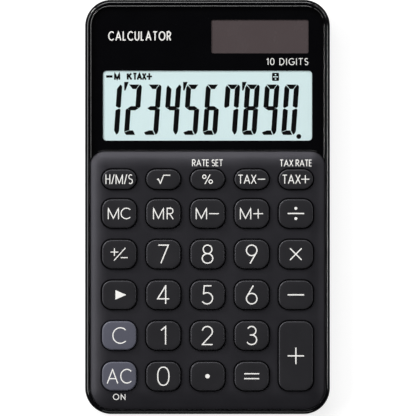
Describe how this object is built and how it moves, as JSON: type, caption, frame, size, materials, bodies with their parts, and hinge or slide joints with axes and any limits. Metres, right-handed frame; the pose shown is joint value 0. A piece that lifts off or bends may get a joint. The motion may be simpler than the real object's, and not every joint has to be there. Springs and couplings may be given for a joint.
{
  "type": "pocket calculator",
  "caption": "Slim solar and battery pocket calculator with a clear display window, LCD, raised keypad panel and sprung push keys.",
  "frame": {"origin": "under the middle of the rear face, on the surface that the calculator lies on", "axes": "+Z out of the key face, +Y towards the display end, +X to the right as the keys are read"},
  "size_m": [0.07, 0.1186, 0.0084],
  "materials": {
    "case_gloss_black": "high gloss moulded",
    "panel_matte_grey": "fine matte texture",
    "key_dark_grey": "smooth satin",
    "key_blue_grey": "smooth satin",
    "clear_acrylic": "clear polished",
    "mask_gloss_black": "screen printed black film",
    "lcd_glass": "clear with thin polariser",
    "lcd_reflector": "pale satin film",
    "white_plastic": "plain moulded",
    "elastomer": "soft layered silicone",
    "solar_glass": "dark cell behind glass",
    "lead_red": "insulated wire",
    "lead_black": "insulated wire",
    "silicone_rubber": "translucent grey silicone",
    "board_green": "solder resist over glass fibre",
    "epoxy_black": "satin epoxy",
    "component_tan": "ceramic body",
    "cell_steel": "bright nickel plate",
    "spring_steel": "plated strip",
    "screw_steel": "zinc plated"
  },
  "bodies": {
    "case": {"front_case": "case_gloss_black", "keypad_panel": "panel_matte_grey", "window_plate": "clear_acrylic", "window_mask": "mask_gloss_black", "rear_case": "case_gloss_black", "lcd_glass": "lcd_glass", "lcd_reflector": "lcd_reflector", "lcd_support_frame": "white_plastic", "connector_strip": "elastomer", "solar_cell": "solar_glass", "solar_lead_plus": "lead_red", "solar_lead_minus": "lead_black", "keypad_membrane": "silicone_rubber", "circuit_board": "board_green", "logic_chip": "epoxy_black", "supply_capacitor": "component_tan", "blocking_diode": "epoxy_black", "battery_cell": "cell_steel", "battery_contact_minus": "spring_steel", "battery_contact_plus": "spring_steel", "case_screw_top_left": "screw_steel", "case_screw_top_right": "screw_steel", "case_screw_middle_left": "screw_steel", "case_screw_middle_right": "screw_steel", "case_screw_bottom_left": "screw_steel", "case_screw_bottom_right": "screw_steel", "board_screw_upper_left": "screw_steel", "board_screw_upper_right": "screw_steel", "board_screw_lower_left": "screw_steel", "board_screw_lower_right": "screw_steel"},
    "key_hms": {"key_hms": "key_dark_grey"},
    "key_root": {"key_root": "key_dark_grey"},
    "key_percent": {"key_percent": "key_dark_grey"},
    "key_tax_minus": {"key_tax_minus": "key_dark_grey"},
    "key_tax_plus": {"key_tax_plus": "key_dark_grey"},
    "key_mc": {"key_mc": "key_dark_grey"},
    "key_mr": {"key_mr": "key_dark_grey"},
    "key_m_minus": {"key_m_minus": "key_dark_grey"},
    "key_m_plus": {"key_m_plus": "key_dark_grey"},
    "key_divide": {"key_divide": "key_dark_grey"},
    "key_sign": {"key_sign": "key_dark_grey"},
    "key_7": {"key_7": "key_dark_grey"},
    "key_8": {"key_8": "key_dark_grey"},
    "key_9": {"key_9": "key_dark_grey"},
    "key_multiply": {"key_multiply": "key_dark_grey"},
    "key_delete_digit": {"key_delete_digit": "key_dark_grey"},
    "key_4": {"key_4": "key_dark_grey"},
    "key_5": {"key_5": "key_dark_grey"},
    "key_6": {"key_6": "key_dark_grey"},
    "key_minus": {"key_minus": "key_dark_grey"},
    "key_c": {"key_c": "key_blue_grey"},
    "key_1": {"key_1": "key_dark_grey"},
    "key_2": {"key_2": "key_dark_grey"},
    "key_3": {"key_3": "key_dark_grey"},
    "key_ac": {"key_ac": "key_blue_grey"},
    "key_0": {"key_0": "key_dark_grey"},
    "key_point": {"key_point": "key_dark_grey"},
    "key_equals": {"key_equals": "key_dark_grey"},
    "key_plus": {"key_plus": "key_dark_grey"}
  },
  "joints": [
    {"name": "press_hms", "type": "slide", "parent": "case", "child": "key_hms", "axis": [0, 0, -1], "range_m": [0, 0.0012], "stiffness_N_per_m": 500, "springref_m": -0.0006, "deforming": ["keypad_membrane"]},
    {"name": "press_root", "type": "slide", "parent": "case", "child": "key_root", "axis": [0, 0, -1], "range_m": [0, 0.0012], "stiffness_N_per_m": 500, "springref_m": -0.0006, "deforming": ["keypad_membrane"]},
    {"name": "press_percent", "type": "slide", "parent": "case", "child": "key_percent", "axis": [0, 0, -1], "range_m": [0, 0.0012], "stiffness_N_per_m": 500, "springref_m": -0.0006, "deforming": ["keypad_membrane"]},
    {"name": "press_tax_minus", "type": "slide", "parent": "case", "child": "key_tax_minus", "axis": [0, 0, -1], "range_m": [0, 0.0012], "stiffness_N_per_m": 500, "springref_m": -0.0006, "deforming": ["keypad_membrane"]},
    {"name": "press_tax_plus", "type": "slide", "parent": "case", "child": "key_tax_plus", "axis": [0, 0, -1], "range_m": [0, 0.0012], "stiffness_N_per_m": 500, "springref_m": -0.0006, "deforming": ["keypad_membrane"]},
    {"name": "press_mc", "type": "slide", "parent": "case", "child": "key_mc", "axis": [0, 0, -1], "range_m": [0, 0.0012], "stiffness_N_per_m": 500, "springref_m": -0.0006, "deforming": ["keypad_membrane"]},
    {"name": "press_mr", "type": "slide", "parent": "case", "child": "key_mr", "axis": [0, 0, -1], "range_m": [0, 0.0012], "stiffness_N_per_m": 500, "springref_m": -0.0006, "deforming": ["keypad_membrane"]},
    {"name": "press_m_minus", "type": "slide", "parent": "case", "child": "key_m_minus", "axis": [0, 0, -1], "range_m": [0, 0.0012], "stiffness_N_per_m": 500, "springref_m": -0.0006, "deforming": ["keypad_membrane"]},
    {"name": "press_m_plus", "type": "slide", "parent": "case", "child": "key_m_plus", "axis": [0, 0, -1], "range_m": [0, 0.0012], "stiffness_N_per_m": 500, "springref_m": -0.0006, "deforming": ["keypad_membrane"]},
    {"name": "press_divide", "type": "slide", "parent": "case", "child": "key_divide", "axis": [0, 0, -1], "range_m": [0, 0.0012], "stiffness_N_per_m": 500, "springref_m": -0.0006, "deforming": ["keypad_membrane"]},
    {"name": "press_sign", "type": "slide", "parent": "case", "child": "key_sign", "axis": [0, 0, -1], "range_m": [0, 0.0012], "stiffness_N_per_m": 500, "springref_m": -0.0006, "deforming": ["keypad_membrane"]},
    {"name": "press_7", "type": "slide", "parent": "case", "child": "key_7", "axis": [0, 0, -1], "range_m": [0, 0.0012], "stiffness_N_per_m": 500, "springref_m": -0.0006, "deforming": ["keypad_membrane"]},
    {"name": "press_8", "type": "slide", "parent": "case", "child": "key_8", "axis": [0, 0, -1], "range_m": [0, 0.0012], "stiffness_N_per_m": 500, "springref_m": -0.0006, "deforming": ["keypad_membrane"]},
    {"name": "press_9", "type": "slide", "parent": "case", "child": "key_9", "axis": [0, 0, -1], "range_m": [0, 0.0012], "stiffness_N_per_m": 500, "springref_m": -0.0006, "deforming": ["keypad_membrane"]},
    {"name": "press_multiply", "type": "slide", "parent": "case", "child": "key_multiply", "axis": [0, 0, -1], "range_m": [0, 0.0012], "stiffness_N_per_m": 500, "springref_m": -0.0006, "deforming": ["keypad_membrane"]},
    {"name": "press_delete_digit", "type": "slide", "parent": "case", "child": "key_delete_digit", "axis": [0, 0, -1], "range_m": [0, 0.0012], "stiffness_N_per_m": 500, "springref_m": -0.0006, "deforming": ["keypad_membrane"]},
    {"name": "press_4", "type": "slide", "parent": "case", "child": "key_4", "axis": [0, 0, -1], "range_m": [0, 0.0012], "stiffness_N_per_m": 500, "springref_m": -0.0006, "deforming": ["keypad_membrane"]},
    {"name": "press_5", "type": "slide", "parent": "case", "child": "key_5", "axis": [0, 0, -1], "range_m": [0, 0.0012], "stiffness_N_per_m": 500, "springref_m": -0.0006, "deforming": ["keypad_membrane"]},
    {"name": "press_6", "type": "slide", "parent": "case", "child": "key_6", "axis": [0, 0, -1], "range_m": [0, 0.0012], "stiffness_N_per_m": 500, "springref_m": -0.0006, "deforming": ["keypad_membrane"]},
    {"name": "press_minus", "type": "slide", "parent": "case", "child": "key_minus", "axis": [0, 0, -1], "range_m": [0, 0.0012], "stiffness_N_per_m": 500, "springref_m": -0.0006, "deforming": ["keypad_membrane"]},
    {"name": "press_c", "type": "slide", "parent": "case", "child": "key_c", "axis": [0, 0, -1], "range_m": [0, 0.0012], "stiffness_N_per_m": 500, "springref_m": -0.0006, "deforming": ["keypad_membrane"]},
    {"name": "press_1", "type": "slide", "parent": "case", "child": "key_1", "axis": [0, 0, -1], "range_m": [0, 0.0012], "stiffness_N_per_m": 500, "springref_m": -0.0006, "deforming": ["keypad_membrane"]},
    {"name": "press_2", "type": "slide", "parent": "case", "child": "key_2", "axis": [0, 0, -1], "range_m": [0, 0.0012], "stiffness_N_per_m": 500, "springref_m": -0.0006, "deforming": ["keypad_membrane"]},
    {"name": "press_3", "type": "slide", "parent": "case", "child": "key_3", "axis": [0, 0, -1], "range_m": [0, 0.0012], "stiffness_N_per_m": 500, "springref_m": -0.0006, "deforming": ["keypad_membrane"]},
    {"name": "press_ac", "type": "slide", "parent": "case", "child": "key_ac", "axis": [0, 0, -1], "range_m": [0, 0.0012], "stiffness_N_per_m": 500, "springref_m": -0.0006, "deforming": ["keypad_membrane"]},
    {"name": "press_0", "type": "slide", "parent": "case", "child": "key_0", "axis": [0, 0, -1], "range_m": [0, 0.0012], "stiffness_N_per_m": 500, "springref_m": -0.0006, "deforming": ["keypad_membrane"]},
    {"name": "press_point", "type": "slide", "parent": "case", "child": "key_point", "axis": [0, 0, -1], "range_m": [0, 0.0012], "stiffness_N_per_m": 500, "springref_m": -0.0006, "deforming": ["keypad_membrane"]},
    {"name": "press_equals", "type": "slide", "parent": "case", "child": "key_equals", "axis": [0, 0, -1], "range_m": [0, 0.0012], "stiffness_N_per_m": 500, "springref_m": -0.0006, "deforming": ["keypad_membrane"]},
    {"name": "press_plus", "type": "slide", "parent": "case", "child": "key_plus", "axis": [0, 0, -1], "range_m": [0, 0.0012], "stiffness_N_per_m": 500, "springref_m": -0.0006, "deforming": ["keypad_membrane"]}
  ]
}
